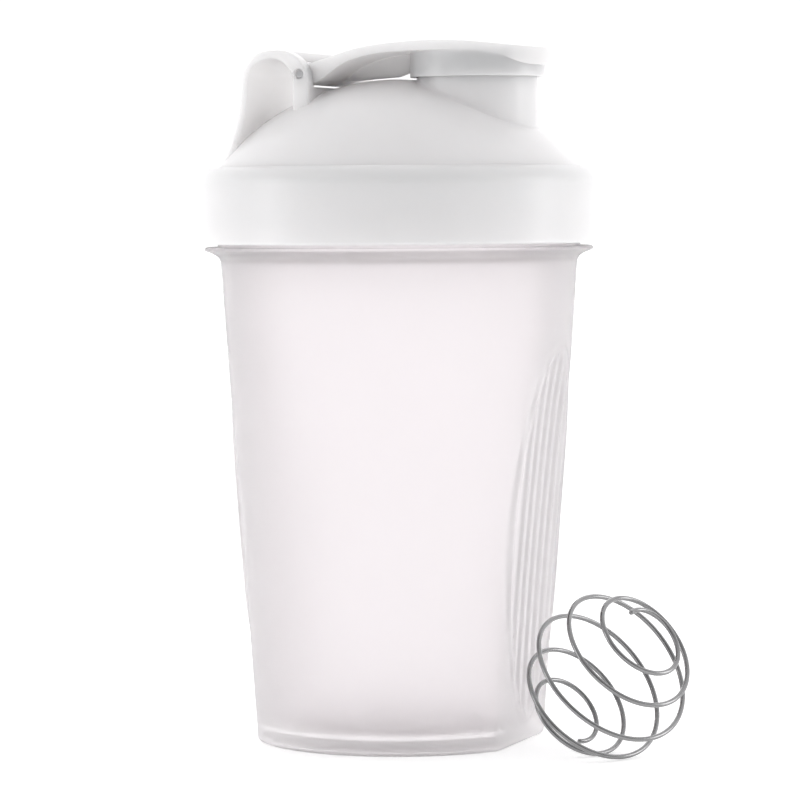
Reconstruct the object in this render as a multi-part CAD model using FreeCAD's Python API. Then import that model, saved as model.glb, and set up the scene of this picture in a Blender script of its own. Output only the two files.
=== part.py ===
"""Protein shaker bottle: tapered cup, screw lid with a spout and a carry loop, flip cap and wire ball.

Millimetres. The origin is the centre of the cup's base on the surface it stands on, +Z is up,
and +X runs from the carry loop to the spout. Each function makes one piece, and the end of the
script writes each piece to parts/NODE.step.
"""

import FreeCAD, Part
import math
import os

V = FreeCAD.Vector
Y_AXIS = V(0, 1, 0)
Z_AXIS = V(0, 0, 1)

# Cup: a tapered wall, a flattened and ribbed grip on each side of the X axis, a rim bead and a threaded neck.
CUP_BASE_R = 33.9
CUP_TAPER = 0.0665
CUP_WALL = 1.3
CUP_FLOOR = 2.2
CUP_FOOT_RECESS = 1.0
CUP_FOOT_RECESS_R = 26.5
CUP_FOOT_ROUND = 1.2
CUP_INNER_ROUND = 3.5
BEAD_BOTTOM_Z = 110.7
BEAD_R = 45.0
BEAD_TOP_Z = 114.5
NECK_R = 42.0
NECK_BORE_R = 40.6
RIM_Z = 128.0
RIM_ROUND = 0.4

# Grip panels: how far the panel's surface is from the bottle's axis, at five heights.
GRIP_PROFILE = [(0.0, 29.9), (38.0, 32.6), (75.0, 36.4), (90.0, 39.0), (98.0, 41.6)]
GRIP_EDGE_ROUND = 6.0
RIB_R = 0.85
RIB_SINK = 0.25
RIB_SPACING = 4.8
RIB_OVAL_MID_Z = 48.5
RIB_OVAL_HALF_Z = 42.5
RIB_OVAL_HALF_Y = 17.0

# Thread: two starts on the neck and two in the collar, turning together without touching.
THREAD_LEAD = 9.0
THREAD_STARTS = 2
THREAD_TURN = 0.42
THREAD_ROOT_HALF = 1.0
THREAD_CREST_HALF = 0.5
NECK_THREAD_CREST_R = 43.3
NECK_THREAD_Z = 119.0
COLLAR_THREAD_CREST_R = 42.6

# Lid moulding: collar, dome, spout and carry loop.
COLLAR_R = 46.2
COLLAR_BORE_R = 44.0
COLLAR_BOTTOM_Z = 115.2
COLLAR_TOP_Z = 132.9
COLLAR_SHOULDER = 4.0
COLLAR_EDGE_ROUND = 0.5
LEDGE_Z = 130.1
LEDGE_BORE_R = 39.6
DOME_BASE_R = 41.6
DOME_APEX_Z = 153.0
DOME_WALL = 1.8
SPOUT_X = 19.5
SPOUT_R = 13.65
SPOUT_DRAFT = 0.25
SPOUT_BORE_R = 12.1
SPOUT_TOP_Z = 157.6
SPOUT_TOP_SLOPE = 0.08
SPOUT_LIP_ROUND = 0.4
SPOUT_FOOT_ROUND = 0.9

# Carry loop: a wide strap arched over a gap that runs along Y. Its inner leg carries the cap's hinge.
LOOP_WIDTH = 40.0
LOOP_STRAP = 1.85
LOOP_ARCH_X = -23.9
LOOP_ARCH_Z = 152.1
LOOP_ARCH_R = 7.4
LOOP_BACK_X = -22.0
LOOP_LEG_FOOT = [(0.0, -6.1), (-1.6, -12.6), (-5.5, -20.6)]
LOOP_LEG_LOW_Z = 146.0
LOOP_EDGE_ROUND = 0.5

# Seal under the lid's ledge.
SEAL_INNER_R = 39.9
SEAL_OUTER_R = 43.6
SEAL_BOTTOM_Z = 128.1
SEAL_TOP_Z = 130.0
SEAL_ROUND = 0.4

# Hinge of the flip cap.
HINGE_X = -16.9
HINGE_Z = 154.0
PIN_R = 0.9
PIN_CLEARANCE = 0.05
PIN_LENGTH = 38.6
PIN_RECESS_R = 1.25
PIN_RECESS_DEPTH = 0.7
PIN_END_ROUND = 0.25
KNUCKLE_R = 2.35
KNUCKLE_HALF = 16.0
NOTCH_HALF = 16.3
NOTCH_LEFT_X = -22.4
NOTCH_BOTTOM_Z = 151.1

# Flip cap: an arched plate with a skirt round the spout, a plug inside it and a thumb tab.
PLATE_TOP = [
    (-16.3, 156.35), (-10.2, 158.1), (-4.5, 159.7), (3.5, 160.8), (14.0, 161.3), (22.0, 161.0), (30.0, 160.2),
    (37.9, 159.5),
]
PLATE_UNDER = [
    (-16.3, 151.7), (-13.2, 152.7), (-8.9, 155.6), (-2.2, 158.0), (8.7, 159.0), (20.0, 159.1), (26.0, 158.6),
    (29.0, 157.9), (32.2, 156.6), (37.9, 155.8),
]
PLATE_HALF = 16.0
PLATE_HALF_THICKNESS = 1.0
PLAN_NECK_ROUND = 4.0
SKIRT_R = 15.5
SKIRT_BORE_R = 14.3
SKIRT_BOTTOM_Z = 153.2
PLUG_R = 11.85
PLUG_BORE_R = 10.4
PLUG_BOTTOM_Z = 151.2
PLUG_TAPER = 0.5
TAB_HALF = 12.0
TAB_TIP_X = 40.2
CAP_RIB_HALF = 0.8
CAP_RIB_UNDER = [(-13.5, 152.6), (-9.0, 152.9), (0.4, 153.5), (4.6, 155.0)]
CAP_ROOF_Z = 158.7

# Whisk ball: one wire wound from pole to pole on a ball, its pole leaning over to +X and up, resting on
# the surface the bottle stands on. The turns crowd a little towards the middle and lean to one side.
WIRE_R = 0.55
BALL_R = 18.2
BALL_X = 55.9
BALL_Y = -18.2
BALL_TURNS = 5.56
BALL_START_ANGLE = 20.3
BALL_END_ANGLE = 159.0
BALL_POLE_TURN = -26.4
BALL_POLE_RISE = 38.0
BALL_PHASE = 286.6
BALL_CROWDING = 0.0465
BALL_LEAN = 0.06
BALL_POINTS_PER_TURN = 16


def cup_radius(z):
    """Outer radius of the plain tapered wall at height z."""
    return CUP_BASE_R + CUP_TAPER * z


def turned(edges):
    """Solid of revolution about Z of a closed outline in the XZ plane."""
    return Part.Face(Part.Wire(edges)).revolve(V(0, 0, 0), Z_AXIS, 360)


def outline(points):
    """Straight edges round (x, z) points, closed back to the first."""
    corners = [V(x, 0, z) for x, z in points]
    return [Part.makeLine(a, b) for a, b in zip(corners, corners[1:] + corners[:1])]


def smooth(points):
    """One smooth edge through (x, z) points."""
    curve = Part.BSplineCurve()
    curve.interpolate([V(x, 0, z) for x, z in points])
    return curve.toShape()


def along_y(edges, half):
    """Closed XZ outline drawn out from Y = -half to Y = +half."""
    face = Part.Face(Part.Wire(Part.__sortEdges__(edges)))
    face.translate(V(0, -half, 0))
    return face.extrude(V(0, 2 * half, 0))


def slab(x0, x1, y0, y1, z0, z1):
    """Box between two corners."""
    return Part.makeBox(x1 - x0, y1 - y0, z1 - z0, V(x0, y0, z0))


def single(shape):
    """The largest solid of a shape, cleaned of split faces."""
    solids = sorted(shape.removeSplitter().Solids, key=lambda s: s.Volume)
    return solids[-1]


def rounded(shape, radius, wanted):
    """Round the edges that wanted(edge) picks."""
    edges = [e for e in shape.Edges if wanted(e)]
    return shape.makeFillet(radius, edges)


def up_the_side(edge):
    """Whether an edge runs up the side of the cup, where a grip panel meets the tapered wall."""
    box = edge.BoundBox
    return box.ZMax - box.ZMin > 60 and box.ZMax < BEAD_BOTTOM_Z - 1


def flat_at(z):
    """Picker of edges that lie at one height."""
    return lambda e: abs(e.BoundBox.ZMin - z) < 1e-3 and abs(e.BoundBox.ZMax - z) < 1e-3


def thread_ridge(root_r, crest_r, z_mid, start):
    """One helical ridge of the thread, from just inside the root to the crest, with tapered ends."""
    height = THREAD_TURN * THREAD_LEAD
    sink = math.copysign(0.3, root_r - crest_r)
    section = [
        (root_r + sink, -THREAD_ROOT_HALF),
        (crest_r, -THREAD_CREST_HALF),
        (crest_r, THREAD_CREST_HALF),
        (root_r + sink, THREAD_ROOT_HALF),
    ]
    helix = Part.makeHelix(THREAD_LEAD, height, root_r)
    pipe = Part.BRepOffsetAPI.MakePipeShell(Part.Wire(helix.Edges))
    pipe.setFrenetMode(True)
    pipe.add(Part.Wire(outline(section)))
    pipe.build()
    pipe.makeSolid()
    ridge = pipe.shape()
    ridge.translate(V(0, 0, z_mid - height / 2))
    ridge.rotate(V(0, 0, 0), Z_AXIS, start * 360.0 / THREAD_STARTS)
    return ridge


def grip_curve(offset):
    """Grip panel's vertical line, moved out from the axis by offset."""
    return smooth([(x + offset, z) for z, x in GRIP_PROFILE])


def grip_cutter(offset):
    """Everything outside the grip panel on the +X side, moved out by offset."""
    line = grip_curve(offset)
    bottom, top = line.Vertexes[0].Point, line.Vertexes[-1].Point
    far = 60.0
    low = -5.0
    edges = [
        line,
        Part.makeLine(top, V(far, 0, top.z)),
        Part.makeLine(V(far, 0, top.z), V(far, 0, low)),
        Part.makeLine(V(far, 0, low), V(bottom.x, 0, low)),
        Part.makeLine(V(bottom.x, 0, low), bottom),
    ]
    return along_y(edges, far)


def both_sides(shape):
    """A shape on +X and the same shape turned to -X."""
    other = shape.copy()
    other.rotate(V(0, 0, 0), Z_AXIS, 180)
    return [shape, other]


def grip_rib(y):
    """Round-backed rib up the grip panel at one Y, its ends on an oval."""
    reach = RIB_OVAL_HALF_Z * math.sqrt(1 - (y / RIB_OVAL_HALF_Y) ** 2)
    low, high = RIB_OVAL_MID_Z - reach, RIB_OVAL_MID_Z + reach
    curve = grip_curve(-RIB_SINK).Curve
    first = curve.parameter(V(curve.value(curve.FirstParameter).x, 0, low))
    last = curve.parameter(V(curve.value(curve.LastParameter).x, 0, high))
    line = curve.toShape(first, last)
    line.translate(V(0, y, 0))
    ends = [line.valueAt(line.FirstParameter), line.valueAt(line.LastParameter)]
    circle = Part.Wire(Part.makeCircle(RIB_R, ends[0], line.tangentAt(line.FirstParameter)))
    rib = Part.Wire(line).makePipeShell([circle], True, False)
    return rib.fuse([Part.makeSphere(RIB_R, end) for end in ends])


def cup():
    """Cup moulding."""
    neck = [(NECK_R, BEAD_TOP_Z), (NECK_R, RIM_Z), (0, RIM_Z), (0, 0), (CUP_BASE_R, 0)]
    flare_from = V(cup_radius(BEAD_BOTTOM_Z), 0, BEAD_BOTTOM_Z)
    flare_mid = V(cup_radius(BEAD_BOTTOM_Z) + 0.9, 0, BEAD_BOTTOM_Z + 1.7)
    flare_to = V(BEAD_R - 0.4, 0, BEAD_TOP_Z - 1.5)
    bead_side = V(BEAD_R, 0, BEAD_TOP_Z - 0.8)
    bead_top = V(BEAD_R - 0.7, 0, BEAD_TOP_Z)
    edges = [
        Part.makeLine(V(CUP_BASE_R, 0, 0), flare_from),
        Part.Arc(flare_from, flare_mid, flare_to).toShape(),
        Part.makeLine(flare_to, bead_side),
        Part.Arc(bead_side, V(BEAD_R - 0.18, 0, BEAD_TOP_Z - 0.2), bead_top).toShape(),
        Part.makeLine(bead_top, V(NECK_R, 0, BEAD_TOP_Z)),
    ]
    corners = [V(x, 0, z) for x, z in neck]
    edges += [Part.makeLine(a, b) for a, b in zip(corners, corners[1:])]
    outer = turned(Part.__sortEdges__(edges)).cut(both_sides(grip_cutter(0)))
    outer = rounded(single(outer), GRIP_EDGE_ROUND, up_the_side)
    outer = rounded(outer, CUP_FOOT_ROUND, flat_at(0))

    inner_top = cup_radius(BEAD_BOTTOM_Z) - CUP_WALL
    floor = CUP_FOOT_RECESS + CUP_FLOOR
    hollow = turned(outline([
        (0, floor),
        (cup_radius(floor) - CUP_WALL, floor),
        (inner_top, BEAD_BOTTOM_Z),
        (NECK_BORE_R, BEAD_TOP_Z + 2),
        (NECK_BORE_R, RIM_Z + 1),
        (0, RIM_Z + 1),
    ]))
    hollow = single(hollow.cut(both_sides(grip_cutter(-CUP_WALL))))
    hollow = rounded(hollow, GRIP_EDGE_ROUND - CUP_WALL, up_the_side)
    hollow = rounded(hollow, CUP_INNER_ROUND, flat_at(floor))
    recess = Part.makeCone(CUP_FOOT_RECESS_R + 1, CUP_FOOT_RECESS_R, CUP_FOOT_RECESS + 0.01, V(0, 0, -0.01))
    body = outer.cut([hollow, recess])

    ribs = []
    for k in (-2.5, -1.5, -0.5, 0.5, 1.5, 2.5):
        ribs += both_sides(grip_rib(k * RIB_SPACING))
    neck_z = NECK_THREAD_Z + THREAD_LEAD / THREAD_STARTS / 2
    ridges = [
        thread_ridge(NECK_R, NECK_THREAD_CREST_R, neck_z, k) for k in range(THREAD_STARTS)
    ]
    return rounded(single(body.fuse(ribs + ridges)), RIM_ROUND, flat_at(RIM_Z))


def lid_seal():
    """Flat silicone ring that the lid's ledge presses on the cup's rim."""
    ring = turned(outline([
        (SEAL_INNER_R, SEAL_BOTTOM_Z),
        (SEAL_OUTER_R, SEAL_BOTTOM_Z),
        (SEAL_OUTER_R, SEAL_TOP_Z),
        (SEAL_INNER_R, SEAL_TOP_Z),
    ]))
    return rounded(ring, SEAL_ROUND, lambda e: e.Length > 50)


def dome_radius():
    """Radius of the sphere that the dome is part of."""
    rise = DOME_APEX_Z - COLLAR_TOP_Z
    return (DOME_BASE_R ** 2 + rise ** 2) / (2 * rise)


def dome_ball(inset):
    """The sphere that the dome is part of, made smaller by inset."""
    return Part.makeSphere(dome_radius() - inset, V(0, 0, DOME_APEX_Z - dome_radius()))


def collar_body():
    """Collar with its round shoulder, solid inside."""
    r, top = COLLAR_R, COLLAR_TOP_Z
    start = V(r, 0, top - COLLAR_SHOULDER)
    end = V(r - COLLAR_SHOULDER, 0, top)
    bend = COLLAR_SHOULDER * (1 - math.sqrt(0.5))
    edges = [
        Part.makeLine(V(r, 0, COLLAR_BOTTOM_Z), start),
        Part.Arc(start, V(r - bend, 0, top - bend), end).toShape(),
        Part.makeLine(end, V(0, 0, top)),
        Part.makeLine(V(0, 0, top), V(0, 0, COLLAR_BOTTOM_Z)),
        Part.makeLine(V(0, 0, COLLAR_BOTTOM_Z), V(r, 0, COLLAR_BOTTOM_Z)),
    ]
    body = turned(edges)
    return rounded(body, COLLAR_EDGE_ROUND, flat_at(COLLAR_BOTTOM_Z))


def spout_body():
    """Spout tube from inside the dome to its slanted lip, solid inside."""
    low = DOME_APEX_Z - 16
    tube = Part.makeCone(SPOUT_R + SPOUT_DRAFT, SPOUT_R, SPOUT_TOP_Z + 4 - low, V(SPOUT_X, 0, low))
    drop = SPOUT_TOP_SLOPE * 40
    left, right = (SPOUT_X - 40, SPOUT_TOP_Z + drop), (SPOUT_X + 40, SPOUT_TOP_Z - drop)
    top = outline([left, right, (SPOUT_X, SPOUT_TOP_Z + 60)])
    return tube.cut(along_y(top, 40))


def arc(x, z, radius, start, end):
    """Round edge in the XZ plane about (x, z), between two angles from +X towards +Z."""
    points = []
    for degrees in (start, (start + end) / 2, end):
        angle = math.radians(degrees)
        points.append(V(x + radius * math.cos(angle), 0, z + radius * math.sin(angle)))
    return Part.Arc(*points).toShape()


def leg_curve(radius):
    """Outer leg of the loop, from the end of an arch of this radius down to a foot that spreads out."""
    x, z = LOOP_ARCH_X - radius, LOOP_ARCH_Z
    curve = Part.BezierCurve()
    curve.setPoles([V(x, 0, z)] + [V(x + dx, 0, z + dz) for dx, dz in LOOP_LEG_FOOT])
    return curve.toShape()


def loop_body():
    """Carry loop's outer shape, solid between its legs."""
    leg = leg_curve(LOOP_ARCH_R)
    crest_z = LOOP_ARCH_Z + LOOP_ARCH_R
    back_x = LOOP_BACK_X + LOOP_ARCH_R
    foot = leg.Vertexes[-1].Point
    edges = [
        leg,
        arc(LOOP_ARCH_X, LOOP_ARCH_Z, LOOP_ARCH_R, 180, 90),
        Part.makeLine(V(LOOP_ARCH_X, 0, crest_z), V(LOOP_BACK_X, 0, crest_z)),
        arc(LOOP_BACK_X, LOOP_ARCH_Z, LOOP_ARCH_R, 90, 0),
        Part.makeLine(V(back_x, 0, LOOP_ARCH_Z), V(back_x, 0, LOOP_LEG_LOW_Z)),
        Part.makeLine(V(back_x, 0, LOOP_LEG_LOW_Z), foot),
    ]
    return along_y(edges, LOOP_WIDTH / 2)


def loop_gap():
    """The gap under the carry loop, right through along Y."""
    radius = LOOP_ARCH_R - LOOP_STRAP
    leg = leg_curve(radius)
    foot = leg.Vertexes[-1].Point
    right = V(LOOP_ARCH_X + radius, 0, LOOP_ARCH_Z)
    corner = V(right.x, 0, foot.z)
    edges = [
        leg,
        arc(LOOP_ARCH_X, LOOP_ARCH_Z, radius, 180, 0),
        Part.makeLine(right, corner),
        Part.makeLine(corner, foot),
    ]
    return along_y(edges, LOOP_WIDTH)


def on_loop_side(edge):
    """Whether an edge runs round the side of the loop, clear of the dome."""
    box = edge.BoundBox
    flat = box.YMax - box.YMin < 1e-3 and abs(abs(box.YMin) - LOOP_WIDTH / 2) < 1e-3
    return flat and box.ZMax > LOOP_LEG_LOW_Z + 2


def carry_loop():
    """Carry loop with rounded sides and a notch for the cap's knuckle."""
    loop = rounded(loop_body().cut(loop_gap()), LOOP_EDGE_ROUND, on_loop_side)
    return loop.cut(slab(NOTCH_LEFT_X, 0, -NOTCH_HALF, NOTCH_HALF, NOTCH_BOTTOM_Z, DOME_APEX_Z + 20))


def on_spout_foot(edge):
    """Whether an edge is where the spout meets the dome."""
    box = edge.BoundBox
    return box.XMin > 4 and box.ZMin > COLLAR_TOP_Z + 3 and box.ZMax < DOME_APEX_Z and edge.Length > 20


def on_spout_lip(edge):
    """Whether an edge runs round the top of the spout."""
    box = edge.BoundBox
    return box.XMin > 4 and box.ZMin > DOME_APEX_Z + 2 and edge.Length > 50


def lid():
    """Lid moulding: collar, dome, spout and carry loop in one piece."""
    dome = dome_ball(0).cut(slab(-90, 90, -90, 90, -90, COLLAR_TOP_Z - 1))
    body = collar_body().fuse([dome, spout_body()])
    body = rounded(body, SPOUT_FOOT_ROUND, on_spout_foot).fuse(carry_loop())
    ledge_low = COLLAR_BOTTOM_Z - 1
    hollow = Part.makeCylinder(COLLAR_BORE_R, LEDGE_Z - ledge_low, V(0, 0, ledge_low))
    throat = Part.makeCylinder(LEDGE_BORE_R, 40, V(0, 0, ledge_low))
    room = dome_ball(DOME_WALL).common(throat)
    bore = Part.makeCylinder(SPOUT_BORE_R, 40, V(SPOUT_X, 0, DOME_APEX_Z - 16))
    body = single(body.cut([hollow, room, bore, hinge_bore()]))
    body = rounded(body, SPOUT_LIP_ROUND, on_spout_lip)
    ridges = [
        thread_ridge(COLLAR_BORE_R, COLLAR_THREAD_CREST_R, NECK_THREAD_Z, k) for k in range(THREAD_STARTS)
    ]
    return single(body.fuse(ridges))


def rod(radius, half, y=0.0):
    """Round bar on the hinge's axis, reaching half each way from y."""
    return Part.makeCylinder(radius, 2 * half, V(HINGE_X, y - half, HINGE_Z), Y_AXIS)


def hinge_bore():
    """Hole through both posts of the loop, with a shallow recess at each end."""
    end = LOOP_WIDTH / 2
    recesses = [rod(PIN_RECESS_R, PIN_RECESS_DEPTH, side * end) for side in (-1, 1)]
    return rod(PIN_R + PIN_CLEARANCE, end + 1).fuse(recesses)


def square_to_y(edge):
    """Whether an edge lies in one plane across the Y axis."""
    return edge.BoundBox.YMax - edge.BoundBox.YMin < 1e-3


def hinge_pin():
    """Steel pin through the posts and the cap's knuckle."""
    return rounded(rod(PIN_R, PIN_LENGTH / 2), PIN_END_ROUND, square_to_y)


def plate_outline():
    """Plan of the cap: straight sides, a disc over the spout and a round-ended tab."""
    high = 60
    low = 140
    sides = slab(HINGE_X - KNUCKLE_R - 1, SPOUT_X, -PLATE_HALF, PLATE_HALF, low, low + high)
    disc = Part.makeCylinder(PLATE_HALF, high, V(SPOUT_X, 0, low))
    tab = slab(SPOUT_X, TAB_TIP_X - TAB_HALF, -TAB_HALF, TAB_HALF, low, low + high)
    tip = Part.makeCylinder(TAB_HALF, high, V(TAB_TIP_X - TAB_HALF, 0, low))
    plan = sides.fuse([disc, tab, tip]).removeSplitter()
    meets = (PLATE_HALF ** 2 - TAB_HALF ** 2 + (TAB_TIP_X - TAB_HALF - SPOUT_X) ** 2)
    meets = SPOUT_X + meets / (2 * (TAB_TIP_X - TAB_HALF - SPOUT_X))
    boxes = [(e, e.BoundBox) for e in plan.Edges]
    corners = [e for e, box in boxes if abs(box.XMin - meets) < 0.01 and abs(box.XMax - meets) < 0.01]
    return plan.makeFillet(PLAN_NECK_ROUND, corners)


def cap_plate():
    """Arched plate with its thumb tab."""
    top, under = smooth(PLATE_TOP), smooth(PLATE_UNDER)
    first_top, last_top = top.Vertexes[0].Point, top.Vertexes[-1].Point
    first_under, last_under = under.Vertexes[0].Point, under.Vertexes[-1].Point
    tip = V(TAB_TIP_X, 0, (last_top.z + last_under.z) / 2)
    edges = [top, under, Part.Arc(last_top, tip, last_under).toShape(), Part.makeLine(first_under, first_top)]
    return along_y(edges, PLATE_HALF + 1).common(plate_outline()).removeSplitter()


def cap_rib():
    """Thin rib under the middle of the plate, from the knuckle to the skirt."""
    high = PLATE_TOP[3][1]
    first, last = CAP_RIB_UNDER[0], CAP_RIB_UNDER[-1]
    edges = outline(CAP_RIB_UNDER + [(last[0], high), (first[0], high)])
    return along_y(edges, CAP_RIB_HALF)


def flip_cap():
    """Flip cap moulding: arched plate, knuckle, skirt, plug, thumb tab and a rib underneath."""
    roof = PLATE_TOP[4][1]
    skirt = Part.makeCylinder(SKIRT_R, roof - SKIRT_BOTTOM_Z, V(SPOUT_X, 0, SKIRT_BOTTOM_Z))
    skirt_depth = CAP_ROOF_Z - SKIRT_BOTTOM_Z + 1
    plug_depth = CAP_ROOF_Z - PLUG_BOTTOM_Z + 1
    room = Part.makeCylinder(SKIRT_BORE_R, skirt_depth, V(SPOUT_X, 0, SKIRT_BOTTOM_Z - 1))
    lead = PLUG_BOTTOM_Z + PLUG_TAPER * 4
    plug = Part.makeCone(PLUG_R - PLUG_TAPER, PLUG_R, lead - PLUG_BOTTOM_Z, V(SPOUT_X, 0, PLUG_BOTTOM_Z))
    plug = plug.fuse(Part.makeCylinder(PLUG_R, roof - lead, V(SPOUT_X, 0, lead)))
    plug_bore = Part.makeCylinder(PLUG_BORE_R, plug_depth, V(SPOUT_X, 0, PLUG_BOTTOM_Z - 1))
    tubes = skirt.fuse([plug, cap_rib()]).common(roof_limit())
    body = cap_plate().fuse([tubes, rod(KNUCKLE_R, KNUCKLE_HALF)])
    ring_room = room.cut(plug)
    return single(body.cut([ring_room, plug_bore, rod(PIN_R + PIN_CLEARANCE, KNUCKLE_HALF + 5)]))


def roof_limit():
    """The space below the middle of the plate's thickness, that the skirt, plug and rib rise into."""
    low = 140.0
    line = smooth([(x, z - PLATE_HALF_THICKNESS) for x, z in PLATE_TOP])
    start, end = line.Vertexes[0].Point, line.Vertexes[-1].Point
    edges = [
        line,
        Part.makeLine(end, V(end.x, 0, low)),
        Part.makeLine(V(end.x, 0, low), V(start.x, 0, low)),
        Part.makeLine(V(start.x, 0, low), start),
    ]
    return along_y(edges, 40)


def ball_points():
    """Points along the middle of the ball's wire, about the centre of the ball."""
    turn, rise = math.radians(BALL_POLE_TURN), math.radians(BALL_POLE_RISE)
    pole = V(math.cos(rise) * math.cos(turn), math.cos(rise) * math.sin(turn), math.sin(rise))
    side = pole.cross(Z_AXIS)
    side.normalize()
    front = pole.cross(side)
    leaning = pole + side * BALL_LEAN
    points = []
    count = round(BALL_TURNS * BALL_POINTS_PER_TURN)
    for i in range(count + 1):
        share = i / count
        spread = share - BALL_CROWDING * math.sin(2 * math.pi * share)
        from_pole = math.radians(BALL_START_ANGLE + spread * (BALL_END_ANGLE - BALL_START_ANGLE))
        around = math.radians(BALL_PHASE) - share * BALL_TURNS * 2 * math.pi
        ring = BALL_R * math.sin(from_pole)
        offset = side * (ring * math.cos(around)) + front * (ring * math.sin(around))
        points.append(offset + leaning * (BALL_R * math.cos(from_pole)))
    return points


def whisk_ball():
    """Wire ball: a spiral of round wire with rounded ends, its lowest turn on the surface at Z = 0."""
    points = ball_points()
    curve = Part.BSplineCurve()
    curve.interpolate(points)
    samples = curve.discretize(len(points) * 40)
    lowest = min(p.z for p in samples)
    points = [p + V(BALL_X, BALL_Y, WIRE_R - lowest) for p in points]
    curve.interpolate(points)
    line = curve.toShape()
    circle = Part.Wire(Part.makeCircle(WIRE_R, points[0], line.tangentAt(line.FirstParameter)))
    wire = Part.Wire(line).makePipeShell([circle], True, False)
    return single(wire.fuse([Part.makeSphere(WIRE_R * 1.02, end) for end in (points[0], points[-1])]))


PIECES = {
    "cup": cup,
    "lid": lid,
    "lid_seal": lid_seal,
    "flip_cap": flip_cap,
    "hinge_pin": hinge_pin,
    "whisk_ball": whisk_ball,
}

os.makedirs("parts", exist_ok=True)
for name, make in PIECES.items():
    shape = make()
    shape.exportStep(f"parts/{name}.step")
    print(name, "valid" if shape.isValid() else "NOT VALID", round(shape.Volume), "mm3")
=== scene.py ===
"""Looks of the protein shaker bottle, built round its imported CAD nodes.

Metres. +Z is up the bottle's axis and +X runs from the carry loop to the spout. The lid, seal,
flip cap and pin are the CAD nodes with finishes of their own. The cup is a skin of rings made here,
for the relief of its grips, and the whisk ball's wire is wound here.
"""

import math

import bpy
from mathutils import Matrix, Vector


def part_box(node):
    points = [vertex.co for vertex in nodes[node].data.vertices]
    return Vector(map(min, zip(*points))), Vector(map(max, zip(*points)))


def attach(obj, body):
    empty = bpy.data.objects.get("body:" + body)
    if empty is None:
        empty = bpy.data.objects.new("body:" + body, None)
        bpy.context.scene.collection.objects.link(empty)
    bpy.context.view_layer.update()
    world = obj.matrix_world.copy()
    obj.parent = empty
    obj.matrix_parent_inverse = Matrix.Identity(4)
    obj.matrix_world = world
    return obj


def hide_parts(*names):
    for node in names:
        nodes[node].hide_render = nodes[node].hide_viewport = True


MM = 0.001

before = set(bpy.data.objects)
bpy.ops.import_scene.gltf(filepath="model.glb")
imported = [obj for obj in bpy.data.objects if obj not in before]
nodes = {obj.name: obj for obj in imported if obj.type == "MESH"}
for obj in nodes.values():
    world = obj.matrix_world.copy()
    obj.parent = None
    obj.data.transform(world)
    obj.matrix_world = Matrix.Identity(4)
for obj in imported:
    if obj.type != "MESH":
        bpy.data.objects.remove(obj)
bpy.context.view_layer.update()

if "Cube" in bpy.data.objects:
    bpy.data.objects.remove(bpy.data.objects["Cube"])
for spare in [o for o in bpy.data.objects if o.type in ("LIGHT", "CAMERA")]:
    bpy.data.objects.remove(spare)


def towards(turn, rise):
    """Unit vector at an angle round the Z axis and an angle up from level."""
    return Vector((math.cos(rise) * math.cos(turn), math.cos(rise) * math.sin(turn), math.sin(rise)))


class Tree:
    """A node tree that gets its nodes from one method."""

    def __init__(self, tree):
        self.tree = tree

    def node(self, kind, settings=None, **sockets):
        """A node of one type: settings go on the node, then values or links on its inputs.

        A socket is named by its label with underscores for spaces, or by its place: s0, s1 and so on.
        """
        made = self.tree.nodes.new(kind)
        for name, value in (settings or {}).items():
            setattr(made, name, value)
        for name, value in sockets.items():
            by_place = name[0] == "s" and name[1:].isdigit()
            socket = made.inputs[int(name[1:]) if by_place else name.replace("_", " ")]
            if isinstance(value, Value):
                self.tree.links.new(value.socket, socket)
            else:
                socket.default_value = value
        return made

    def value(self, kind, settings=None, out=0, **sockets):
        """One output of a new node, ready for sums."""
        return Value(self, self.node(kind, settings, **sockets).outputs[out])


class Value:
    """A socket that adds Math nodes when it is used in a sum."""

    def __init__(self, tree, socket):
        self.tree = tree
        self.socket = socket

    def math(self, operation, *others, clamp=False):
        """A Math node on this socket and the others."""
        places = {f"s{i}": v for i, v in enumerate((self,) + others)}
        return self.tree.value("ShaderNodeMath", {"operation": operation, "use_clamp": clamp}, **places)

    def flipped(self, operation, other):
        """A Math node with the other value first."""
        return self.tree.value("ShaderNodeMath", {"operation": operation}, s0=other, s1=self)

    def __add__(self, other):
        return self.math("ADD", other)

    def __radd__(self, other):
        return self.flipped("ADD", other)

    def __sub__(self, other):
        return self.math("SUBTRACT", other)

    def __rsub__(self, other):
        return self.flipped("SUBTRACT", other)

    def __mul__(self, other):
        return self.math("MULTIPLY", other)

    def __rmul__(self, other):
        return self.flipped("MULTIPLY", other)

    def sin(self):
        return self.math("SINE")

    def cos(self):
        return self.math("COSINE")

    def limited(self):
        """Kept between 0 and 1."""
        return self.math("ADD", 0.0, clamp=True)


# ---------------------------------------------------------------- finishes

FINE_TEXTURE = 0.01 * MM
FINE_LINES = 0.004 * MM


def finish(name, shader_values):
    """A material with one Principled shader, its even values set on the shader itself."""
    material = bpy.data.materials.new(name)
    material.use_nodes = True
    material.node_tree.nodes.clear()
    tree = Tree(material.node_tree)
    shader = tree.node("ShaderNodeBsdfPrincipled", None, **shader_values)
    output = tree.node("ShaderNodeOutputMaterial")
    tree.tree.links.new(shader.outputs[0], output.inputs["Surface"])
    return material, tree, shader


def feed(tree, shader, **values):
    """Links what changes over the surface into the shader."""
    for name, value in values.items():
        tree.tree.links.new(value.socket, shader.inputs[name.replace("_", " ")])


def place(tree):
    """Object coordinates in millimetres."""
    coordinates = tree.value("ShaderNodeTexCoord", out=3)
    return tree.value("ShaderNodeVectorMath", {"operation": "SCALE"}, s0=coordinates, Scale=1 / MM)


def noise(tree, at, scale, detail=2.0, roughness=0.5):
    """Smooth noise with a mean of one half."""
    return tree.value(
        "ShaderNodeTexNoise", None, Vector=at, Scale=scale, Detail=detail, Roughness=roughness
    )


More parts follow.
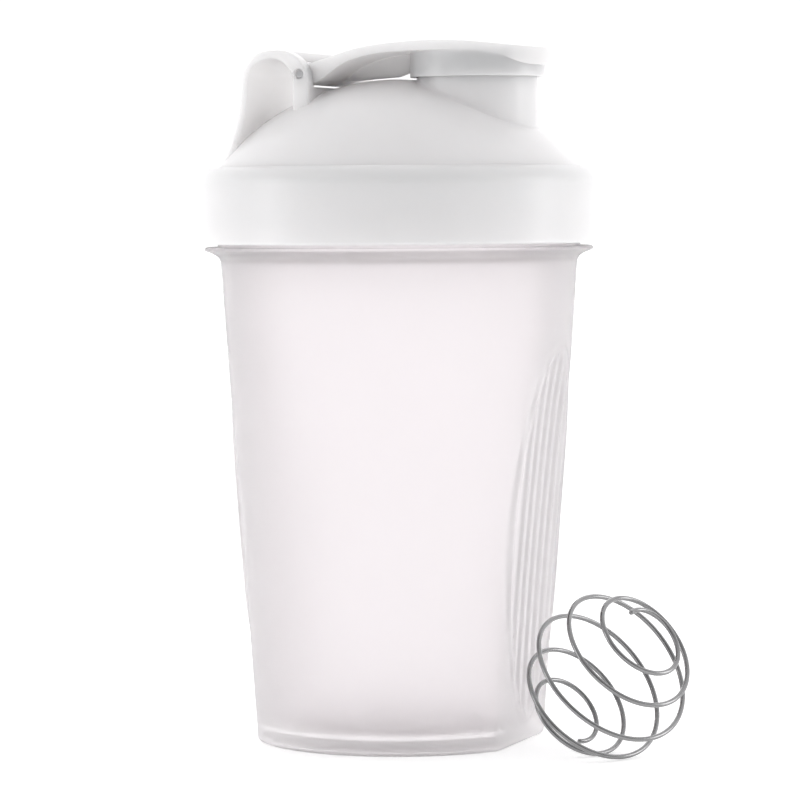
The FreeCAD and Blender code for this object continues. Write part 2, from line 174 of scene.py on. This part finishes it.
def between(share, low, high):
    """A number that runs from low to high as share runs from 0 to 1."""
    return share * (high - low) + low


def tint(tree, share, first, second):
    """A colour that runs from first to second as share runs from 0 to 1."""
    return tree.value(
        "ShaderNodeMix", {"data_type": "RGBA"}, out=2,
        Factor=share, s6=first + (1.0,), s7=second + (1.0,),
    )


def bumped(tree, height, distance):
    """Normal of a surface whose height is given in units of distance, in metres."""
    return tree.value("ShaderNodeBump", None, Height=height, Distance=distance, Strength=1.0)


def moulded_white():
    """Satin white moulded plastic: even colour, faint flow marks and a very fine mould texture."""
    material, tree, shader = finish("satin_white_moulding", {
        "IOR": 1.46,
        "Subsurface_Weight": 1.0,
        "Subsurface_Radius": (1.0, 0.97, 0.95),
        "Subsurface_Scale": 0.0070,
    })
    at = place(tree)
    flow = noise(tree, at, 0.05, 3.0)
    skin = noise(tree, at, 2.6, 3.0)
    feed(
        tree, shader,
        Base_Color=tint(tree, flow, (0.840, 0.827, 0.827), (0.875, 0.862, 0.864)),
        Roughness=between(flow * 0.6 + skin * 0.4, 0.27, 0.37),
        Normal=bumped(tree, skin + flow * 2.0, FINE_TEXTURE),
    )
    return material


def frosted_cup():
    """Natural see-through plastic with a fine frosting and faint flow lines up the wall."""
    material, tree, shader = finish("frosted_natural_moulding", {
        "IOR": 1.42,
        "Transmission_Weight": 0.90,
    })
    at = place(tree)
    stretched = tree.value("ShaderNodeMapping", None, Vector=at, Scale=(1.0, 1.0, 0.12))
    flow = noise(tree, stretched, 0.12, 3.0)
    frosting = noise(tree, at, 1.8, 4.0, 0.6)
    feed(
        tree, shader,
        Base_Color=tint(tree, flow, (0.950, 0.923, 0.933), (0.972, 0.949, 0.958)),
        Roughness=between(frosting * 0.5 + flow * 0.5, 0.34, 0.46),
        Normal=bumped(tree, frosting + flow * 3.0, FINE_TEXTURE),
    )
    return material


def soft_silicone():
    """Matt silicone with a dusty bloom."""
    material, tree, shader = finish("matt_silicone", {"IOR": 1.41, "Sheen_Weight": 0.15})
    at = place(tree)
    bloom = noise(tree, at, 0.6, 3.0)
    feed(
        tree, shader,
        Base_Color=tint(tree, bloom, (0.78, 0.78, 0.79), (0.85, 0.85, 0.86)),
        Roughness=between(bloom, 0.55, 0.7),
        Normal=bumped(tree, bloom, FINE_TEXTURE),
    )
    return material


def pin_steel():
    """Ground steel bar, its grinding lines round the Y axis."""
    material, tree, shader = finish("ground_steel_pin", {"Metallic": 1.0})
    at = place(tree)
    rings = tree.value("ShaderNodeMapping", None, Vector=at, Scale=(0.4, 9.0, 0.4))
    lines = noise(tree, rings, 1.0, 3.0)
    feed(
        tree, shader,
        Base_Color=tint(tree, lines, (0.50, 0.50, 0.51), (0.66, 0.66, 0.67)),
        Roughness=between(lines, 0.22, 0.38),
        Normal=bumped(tree, lines, FINE_LINES),
    )
    return material


def drawn_wire():
    """Polished stainless wire with faint drawing lines along it, read from the wire's own length. Its
    tone is painted darker than bare steel as painted shade, standing in for the dark room it would
    reflect.
    """
    material, tree, shader = finish("polished_wire", {"Metallic": 1.0})
    along = tree.value("ShaderNodeAttribute", {"attribute_name": "along_wire"}, out=2)
    around = tree.value("ShaderNodeAttribute", {"attribute_name": "round_wire"}, out=2)
    flat = tree.value("ShaderNodeCombineXYZ", None, X=along * 12.0, Y=around * 9.0)
    lines = noise(tree, flat, 1.0, 3.0)
    blotch = noise(tree, place(tree), 0.35, 2.0)
    # Painted shade: both wire tones sit well below bare steel to stand in for dark surroundings in its
    # reflections; the drawing lines and blotches between them are the wire's own.
    feed(
        tree, shader,
        Base_Color=tint(tree, lines * 0.5 + blotch * 0.5, (0.20, 0.20, 0.203), (0.36, 0.36, 0.363)),
        Roughness=between(lines, 0.14, 0.26),
        Normal=bumped(tree, lines, FINE_LINES),
    )
    return material


# ---------------------------------------------------------------- cup

# Millimetres, as on the CAD node.
CUP_BASE_R = 33.9
CUP_TAPER = 0.0665
CUP_WALL = 1.3
FLOOR_Z = 3.2
FOOT_ROUND = 1.2
FOOT_LAND = 0.2
RECESS_Z = 1.0
RECESS_TOP_R = 26.5
RECESS_LOW_R = 27.5
BEAD_LOW_Z = 110.7
BEAD_TOP_Z = 114.5
BEAD_R = 45.0
NECK_R = 42.0
NECK_BORE_R = 40.6
RIM_Z = 128.0
RIM_ROUND = 0.4
INNER_ROUND = 3.5
# Up from the bead's lower edge, and out from the wall.
BEAD_FLARE = ((0.7, 0.15), (1.3, 0.5), (1.7, 0.95), (2.1, 1.6), (2.5, 2.45), (2.8, 3.2), (3.0, 3.65))
# Down from the bead's top, and in from its edge.
BEAD_EDGE = ((0.6, 0.0), (0.4, 0.06), (0.18, 0.22), (0.04, 0.45), (0.0, 0.7))
# Up from the bead's top, and out from the neck.
NECK_ROOT = ((0.0, 0.3), (0.08, 0.08), (0.3, 0.0))
# Up from the bead's top to the bore's low end, and in from the bore.
BORE_END = ((2.3, 0.0), (1.8, 0.03))
THREAD_LEAD = 9.0
THREAD_TURN = 0.42
THREAD_Z = 121.25
THREAD_HEIGHT = 1.3
THREAD_ROOT_HALF = 1.0
THREAD_CREST_HALF = 0.5
THREAD_RUN_OUT = 0.05  # radians
THREAD_MARGINS = (0.6, 0.8)  # above the bead and below the rim
GRIP_HEIGHTS = (0.0, 38.0, 75.0, 90.0, 98.0, 106.0)
GRIP_FROM_AXIS = (29.9, 32.6, 36.4, 39.0, 41.6, 44.6)
GRIP_BLEND = 0.75
GRIP_FACING = 0.6  # least cosine between a direction and its grip's own
RIB_COUNT = 6
RIB_SPACING = 4.8
RIB_HALF_WIDTH = 1.7
RIB_HEIGHT = 0.6
RIB_RUN_OUT = 1.5
RIDGE_ROUNDNESS = 1.3
OVAL_MID_Z = 48.5
OVAL_HALF_Z = 42.5
OVAL_HALF_Y = 17.0
OVAL_MARGIN = 3.0
OVAL_RIDGE = 0.5
OVAL_RIDGE_HALF_WIDTH = 1.5

# How finely the skin is divided.
GRIP_HALF_ANGLE = 34.0
GRIP_STEPS = 90
SIDE_STEPS = 40
WALL_ROWS = 120
NECK_ROWS = 42
INNER_ROWS = 30
ROUND_ROWS = 8
RIM_TURNS = (0, 30, 60, 90)
RECESS_RINGS = (9.0, 18.0, RECESS_TOP_R - 0.3, RECESS_TOP_R)
FLOOR_RINGS = (22.0, 11.0)
SHARP_ANGLE = 42.0


def eased(places, values, at):
    """A smooth line through the given values, by a cubic between neighbours."""
    at = min(max(at, places[0]), places[-1])
    i = max(k for k in range(len(places) - 1) if places[k] <= at)
    slopes = []
    for k in (i, i + 1):
        low, high = max(k - 1, 0), min(k + 1, len(places) - 1)
        slopes.append((values[high] - values[low]) / (places[high] - places[low]))
    span = places[i + 1] - places[i]
    t = (at - places[i]) / span
    return (
        values[i] * (1 + 2 * t) * (1 - t) ** 2 + values[i + 1] * t * t * (3 - 2 * t)
        + span * (slopes[0] * t * (1 - t) ** 2 - slopes[1] * t * t * (1 - t))
    )


def soft_min(first, second, blend):
    """The smaller of two numbers, rounded over where they are nearly the same."""
    share = max(0.0, min(1.0, 0.5 + (second - first) / (4 * blend)))
    return first * share + second * (1 - share) - 2 * blend * share * (1 - share)


def ridge(away, half_width):
    """Round-backed ridge: 1 on its middle line and 0 past its half width."""
    if away >= half_width:
        return 0.0
    return math.cos(math.pi / 2 * away / half_width) ** RIDGE_ROUNDNESS


def grip_relief(y, z):
    """How far the ribs and their oval border stand out of the grip panel."""
    if abs(z - OVAL_MID_Z) > OVAL_HALF_Z + OVAL_MARGIN:
        return 0.0
    across, up = y / OVAL_HALF_Y, (z - OVAL_MID_Z) / OVAL_HALF_Z
    reach = math.hypot(across, up)
    slope = math.hypot(across / OVAL_HALF_Y, up / OVAL_HALF_Z) / max(reach, 1e-6)
    outside = (reach - 1) / max(slope, 1e-6)
    relief = OVAL_RIDGE * ridge(abs(outside), OVAL_RIDGE_HALF_WIDTH)
    if outside < 0:
        height = RIB_HEIGHT * min(1, -outside / RIB_RUN_OUT)
        for k in range(RIB_COUNT):
            middle = (k - (RIB_COUNT - 1) / 2) * RIB_SPACING
            relief = max(relief, height * ridge(abs(y - middle), RIB_HALF_WIDTH))
    return relief


def wall_radius(angle, z, inset, ribbed):
    """Distance of the cup's wall from its axis, in one direction and at one height."""
    round_wall = CUP_BASE_R + CUP_TAPER * z - inset
    facing = abs(math.cos(angle))
    if facing < GRIP_FACING or z > GRIP_HEIGHTS[-1]:
        return round_wall
    panel = (eased(GRIP_HEIGHTS, GRIP_FROM_AXIS, z) - inset) / facing
    radius = soft_min(round_wall, panel, GRIP_BLEND)
    if ribbed:
        side = math.copysign(1, math.cos(angle))
        radius += grip_relief(side * radius * math.sin(angle), z) / facing
    return radius


def thread_relief(angle, z):
    """How far the neck's two thread ridges stand out of it."""
    relief = 0.0
    length = 2 * math.pi * THREAD_TURN
    for start in (0, math.pi):
        along = (angle - start) % (2 * math.pi)
        if along < length:
            middle = THREAD_Z + THREAD_LEAD * (along / (2 * math.pi) - THREAD_TURN / 2)
            slope = (THREAD_ROOT_HALF - abs(z - middle)) / (THREAD_ROOT_HALF - THREAD_CREST_HALF)
            ends = min(1.0, along / THREAD_RUN_OUT, (length - along) / THREAD_RUN_OUT)
            relief = max(relief, THREAD_HEIGHT * max(0.0, min(1.0, slope)) * ends)
    return relief


def round_ring(z, radius):
    """A ring of one radius at one height."""
    return z, lambda angle: radius


def outer_ring(z, drop):
    """A ring of the outside of the wall, drawn in by drop."""
    return z, lambda angle: wall_radius(angle, z, 0, True) - drop


def inner_ring(z, drop):
    """A ring of the inside of the wall, drawn in by drop."""
    return z, lambda angle: wall_radius(angle, z, CUP_WALL, False) - drop


def neck_ring(z):
    """A ring of the threaded neck."""
    return z, lambda angle: NECK_R + thread_relief(angle, z)


def spaced(low, high, count):
    """Evenly spaced heights from low to high, both ends among them."""
    return [low + (high - low) * step / count for step in range(count + 1)]


def rim_round(turn):
    """Height of the rim's rounding and how far it is tucked in, at one angle of its arc."""
    turn = math.radians(turn)
    return RIM_Z - RIM_ROUND * (1 - math.sin(turn)), RIM_ROUND * (1 - math.cos(turn))


def cup_rings():
    """The cup's section as rings: from the underside's middle, up the outside, over the rim and down.

    Each ring is a height and a function from direction to radius.
    """
    rings = [round_ring(RECESS_Z, r) for r in RECESS_RINGS]
    rings += [round_ring(0.0, RECESS_LOW_R), round_ring(0.0, RECESS_LOW_R + FOOT_LAND)]
    rings.append((0.0, lambda angle: wall_radius(angle, 0, 0, False) - FOOT_ROUND - FOOT_LAND))
    quarter = [math.pi / 2 * step / ROUND_ROWS for step in range(ROUND_ROWS + 1)]
    for turn in quarter:
        rings.append(outer_ring(FOOT_ROUND * (1 - math.cos(turn)), FOOT_ROUND * (1 - math.sin(turn))))
    rings += [outer_ring(z, 0.0) for z in spaced(FOOT_ROUND, BEAD_LOW_Z, WALL_ROWS)[1:]]
    wall_top = CUP_BASE_R + CUP_TAPER * BEAD_LOW_Z
    rings += [round_ring(BEAD_LOW_Z + up, wall_top + out) for up, out in BEAD_FLARE]
    rings += [round_ring(BEAD_TOP_Z - down, BEAD_R - back) for down, back in BEAD_EDGE]
    rings += [round_ring(BEAD_TOP_Z + up, NECK_R + out) for up, out in NECK_ROOT]
    above_bead, below_rim = THREAD_MARGINS
    rings += [neck_ring(z) for z in spaced(BEAD_TOP_Z + above_bead, RIM_Z - below_rim, NECK_ROWS)]
    over = [rim_round(turn) for turn in RIM_TURNS]
    rings += [round_ring(z, NECK_R - tuck) for z, tuck in over]
    rings += [round_ring(z, NECK_BORE_R + tuck) for z, tuck in reversed(over)]
    rings += [round_ring(BEAD_TOP_Z + up, NECK_BORE_R - back) for up, back in BORE_END]
    inner_low = FLOOR_Z + INNER_ROUND
    rings += [inner_ring(z, 0.0) for z in spaced(BEAD_LOW_Z, inner_low, INNER_ROWS)]
    for turn in quarter[1:]:
        drop = INNER_ROUND * (1 - math.cos(turn))
        rings.append(inner_ring(inner_low - INNER_ROUND * math.sin(turn), drop))
    return rings + [round_ring(FLOOR_Z, r) for r in FLOOR_RINGS]


def cup_directions():
    """Directions round the cup, close together across the grips."""
    grip = math.radians(GRIP_HALF_ANGLE)
    quarter = [-grip + 2 * grip * k / GRIP_STEPS for k in range(GRIP_STEPS)]
    quarter += [grip + (math.pi - 2 * grip) * k / SIDE_STEPS for k in range(SIDE_STEPS)]
    return quarter + [angle + math.pi for angle in quarter]


def cup(material):
    """The whole cup as one closed skin of rings, in place of its CAD node."""
    directions = cup_directions()
    rings = cup_rings()
    count = len(directions)
    points = [(0.0, 0.0, RECESS_Z * MM)]
    for z, radius in rings:
        for angle in directions:
            r = radius(angle)
            points.append((r * math.cos(angle) * MM, r * math.sin(angle) * MM, z * MM))
    points.append((0.0, 0.0, FLOOR_Z * MM))
    faces = []
    last = 1 + (len(rings) - 1) * count
    for j in range(count):
        after = (j + 1) % count
        faces.append((0, 1 + after, 1 + j))
        faces.append((len(points) - 1, last + j, last + after))
        for i in range(len(rings) - 1):
            low, high = 1 + i * count, 1 + (i + 1) * count
            faces.append((low + j, low + after, high + after, high + j))
    mesh = bpy.data.meshes.new("cup_body")
    mesh.from_pydata(points, [], faces)
    mesh.materials.append(material)
    mesh.polygons.foreach_set("use_smooth", [True] * len(faces))
    mesh.set_sharp_from_angle(angle=math.radians(SHARP_ANGLE))
    body = bpy.data.objects.new("cup_body", mesh)
    bpy.context.scene.collection.objects.link(body)
    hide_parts("cup")
    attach(body, "cup")


# ---------------------------------------------------------------- whisk ball

# Metres and radians.
WIRE_R = 0.55 * MM
BALL_R = 18.2 * MM
BALL_TURNS = 5.56
BALL_START_ANGLE = math.radians(20.3)
BALL_END_ANGLE = math.radians(159.0)
BALL_POLE_TURN = math.radians(-26.4)
BALL_POLE_RISE = math.radians(38.0)
BALL_PHASE = math.radians(286.6)
BALL_CROWDING = 0.0465
BALL_LEAN = 0.06
WIRE_POINTS = 700
WIRE_SIDES = 16
WIRE_TIP_RINGS = 10


def wire_tree(material):
    """Geometry nodes that wind one wire from pole to pole of a ball at the origin."""
    group = bpy.data.node_groups.new("wound_wire", "GeometryNodeTree")
    sizes = {
        "Ball radius": BALL_R,
        "Wire radius": WIRE_R,
        "Turns": BALL_TURNS,
        "Start angle": BALL_START_ANGLE,
        "End angle": BALL_END_ANGLE,
        "Phase": BALL_PHASE,
        "Crowding": BALL_CROWDING,
        "Lean": BALL_LEAN,
    }
    ids = {}
    for name in sizes:
        socket = group.interface.new_socket(name, in_out="INPUT", socket_type="NodeSocketFloat")
        ids[name] = socket.identifier
    group.interface.new_socket("Wire", in_out="OUTPUT", socket_type="NodeSocketGeometry")
    tree = Tree(group)
    inputs = tree.node("NodeGroupInput")
    size = {name: Value(tree, inputs.outputs[name]) for name in sizes}

    line = tree.value("GeometryNodeCurvePrimitiveLine", {"mode": "POINTS"}, End=(0.0, 0.0, 1.0))
    line = tree.value("GeometryNodeResampleCurve", None, Curve=line, Count=WIRE_POINTS)
    share = tree.value("GeometryNodeSplineParameter")
    full = 2 * math.pi
    spread = share - size["Crowding"] * (share * full).sin()
    from_pole = size["Start angle"] + spread * (size["End angle"] - size["Start angle"])
    around = size["Phase"] - share * size["Turns"] * full
    ring = from_pole.sin()
    height = from_pole.cos()
    spot = tree.value(
        "ShaderNodeCombineXYZ", None,
        X=ring * around.cos() + height * size["Lean"],
        Y=ring * around.sin(),
        Z=height,
    )
    spot = tree.value("ShaderNodeVectorMath", {"operation": "SCALE"}, s0=spot, Scale=size["Ball radius"])
    line = tree.value("GeometryNodeSetPosition", None, Geometry=line, Position=spot)
    line = tree.value(
        "GeometryNodeStoreNamedAttribute", {"data_type": "FLOAT", "domain": "POINT"},
        Geometry=line, Name="along_wire", Value=share,
    )
    section = tree.value(
        "GeometryNodeCurvePrimitiveCircle", {"mode": "RADIUS"},
        Resolution=WIRE_SIDES, Radius=size["Wire radius"],
    )
    turn = tree.value("GeometryNodeSplineParameter")
    section = tree.value(
        "GeometryNodeStoreNamedAttribute", {"data_type": "FLOAT", "domain": "POINT"},
        Geometry=section, Name="round_wire", Value=turn,
    )
    tube = tree.node("GeometryNodeCurveToMesh")
    tube.inputs["Fill Caps"].default_value = True
    tree.tree.links.new(line.socket, tube.inputs["Curve"])
    tree.tree.links.new(section.socket, tube.inputs["Profile Curve"])
    tube = Value(tree, tube.outputs[0])
    tip = tree.value(
        "GeometryNodeMeshUVSphere", None,
        Segments=WIRE_SIDES, Rings=WIRE_TIP_RINGS, Radius=size["Wire radius"],
    )
    ends = tree.value("GeometryNodeCurveEndpointSelection")
    tips = tree.value("GeometryNodeInstanceOnPoints", None, Points=line, Instance=tip, Selection=ends)
    tips = tree.value("GeometryNodeRealizeInstances", None, Geometry=tips)
    join = tree.node("GeometryNodeJoinGeometry")
    for part in (tips, tube):
        tree.tree.links.new(part.socket, join.inputs[0])
    wire = tree.value("GeometryNodeSetShadeSmooth", None, s0=Value(tree, join.outputs[0]))
    wire = tree.value("GeometryNodeSetMaterial", None, Geometry=wire, Material=material)
    output = tree.node("NodeGroupOutput")
    tree.tree.links.new(wire.socket, output.inputs[0])
    return group, {ids[name]: value for name, value in sizes.items()}


def made_mesh(name, group, values, turn_and_place):
    """The mesh that a tree makes, with its place put into its points."""
    carrier = bpy.data.objects.new(name + "_carrier", bpy.data.meshes.new(name + "_carrier"))
    bpy.context.scene.collection.objects.link(carrier)
    modifier = carrier.modifiers.new("nodes", "NODES")
    modifier.node_group = group
    for socket, value in values.items():
        modifier[socket] = value
    bpy.context.view_layer.update()
    evaluated = carrier.evaluated_get(bpy.context.evaluated_depsgraph_get())
    mesh = bpy.data.meshes.new_from_object(evaluated)
    mesh.name = name
    bpy.data.objects.remove(carrier)
    mesh.transform(turn_and_place)
    piece = bpy.data.objects.new(name, mesh)
    bpy.context.scene.collection.objects.link(piece)
    return piece


def whisk_ball():
    """The wire ball, wound about its pole and set down where its CAD node rests."""
    pole = towards(BALL_POLE_TURN, BALL_POLE_RISE)
    level = pole.cross(Vector((0, 0, 1))).normalized()
    front = pole.cross(level)
    turned = Matrix((level, front, pole)).transposed().to_4x4()
    group, values = wire_tree(drawn_wire())
    ball = made_mesh("whisk_wire", group, values, turned)
    low, high = (Vector(corner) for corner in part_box("whisk_ball"))
    sides = zip(*(vertex.co for vertex in ball.data.vertices))
    middle = Vector([(min(side) + max(side)) / 2 for side in sides])
    ball.data.transform(Matrix.Translation((low + high) / 2 - middle))
    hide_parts("whisk_ball")
    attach(ball, "ball")


# ---------------------------------------------------------------- stage, lights and camera

CAMERA_TURN = 20.0
CAMERA_DROP = 2.97
CAMERA_ROLL = -0.35
CAMERA_AT = Vector((0.3058, -0.8401, 0.1251))
CAMERA_LENS = 173.3
FLOOR_HALF = 8.0
FRONT_LEVEL = 0.27
BACK_LEVEL = 1.50
BACK_RISE = 0.15
SEEN_LEVEL = 1.1
LIGHT_AIM = Vector((0.0, 0.0, 0.09))
LIGHT_AWAY = 0.9
LIGHT_RISE = 10.0
LIGHT_WIDTH = 0.22
LIGHT_HEIGHT = 0.5


def pale_floor():
    """Plain pale floor."""
    material, _, _ = finish("pale_floor", {
        "Base_Color": (0.93, 0.93, 0.93, 1.0),
        "Roughness": 0.9,
        "Emission_Color": (1.0, 1.0, 1.0, 1.0),
        "Emission_Strength": 0.36,
    })
    low, high = -FLOOR_HALF, FLOOR_HALF
    corners = [(low, low, 0), (high, low, 0), (high, high, 0), (low, high, 0)]
    mesh = bpy.data.meshes.new("floor")
    mesh.from_pydata(corners, [], [(0, 1, 2, 3)])
    mesh.materials.append(material)
    floor = bpy.data.objects.new("floor", mesh)
    bpy.context.scene.collection.objects.link(floor)


def room():
    """Pale room light, strongest from behind the bottle, and even where the room itself is seen."""
    world = bpy.data.worlds.new("room")
    bpy.context.scene.world = world
    world.use_nodes = True
    world.node_tree.nodes.clear()
    tree = Tree(world.node_tree)
    seen = tree.value("ShaderNodeLightPath")
    sight = tree.value("ShaderNodeTexCoord", out=0)
    turn = math.radians(CAMERA_TURN)
    away = (-math.sin(turn), math.cos(turn), BACK_RISE)
    behind = tree.value(
        "ShaderNodeVectorMath", {"operation": "DOT_PRODUCT"}, out=1, s0=sight, s1=away
    )
    lit = between((behind * 0.5 + 0.5).limited(), FRONT_LEVEL, BACK_LEVEL)
    level = lit + seen * (SEEN_LEVEL - lit)
    background = tree.node("ShaderNodeBackground", None, Color=(1.0, 0.995, 1.0, 1.0), Strength=level)
    output = tree.node("ShaderNodeOutputWorld")
    tree.tree.links.new(background.outputs[0], output.inputs["Surface"])


def soft_light(name, azimuth, power):
    """A tall soft light that faces the bottle, placed by angle from the camera's side."""
    light = bpy.data.lights.new(name, "AREA")
    light.shape = "RECTANGLE"
    light.size = LIGHT_WIDTH
    light.size_y = LIGHT_HEIGHT
    light.energy = power
    lamp = bpy.data.objects.new(name, light)
    turn = math.radians(azimuth - 90 + CAMERA_TURN)
    lamp.location = LIGHT_AIM + LIGHT_AWAY * towards(turn, math.radians(LIGHT_RISE))
    lamp.rotation_euler = (LIGHT_AIM - lamp.location).to_track_quat("-Z", "Y").to_euler()
    bpy.context.scene.collection.objects.link(lamp)


def camera():
    """A long lens level with the lid, a little to the spout's side of the bottle's side."""
    data = bpy.data.cameras.new("camera")
    data.lens = CAMERA_LENS
    data.sensor_width = 36.0
    data.clip_start = 0.05
    data.dof.use_dof = False
    eye = bpy.data.objects.new("camera", data)
    turn = Matrix.Rotation(math.radians(CAMERA_TURN), 4, "Z")
    tip = Matrix.Rotation(math.radians(90 - CAMERA_DROP), 4, "X")
    roll = Matrix.Rotation(math.radians(CAMERA_ROLL), 4, "Z")
    eye.matrix_world = Matrix.Translation(CAMERA_AT) @ turn @ tip @ roll
    bpy.context.scene.collection.objects.link(eye)
    bpy.context.scene.camera = eye


def clad(node, material):
    """Gives a CAD node its finish."""
    slots = nodes[node].data.materials
    for i in range(len(slots)):
        slots[i] = material


camera()
bpy.context.scene.view_settings.view_transform = "Standard"
room()
pale_floor()
soft_light("left_light", -76, 1.0)
soft_light("right_light", 88, 1.05)

white = moulded_white()
cup(frosted_cup())
clad("lid", white)
clad("flip_cap", white)
clad("lid_seal", soft_silicone())
clad("hinge_pin", pin_steel())
whisk_ball()
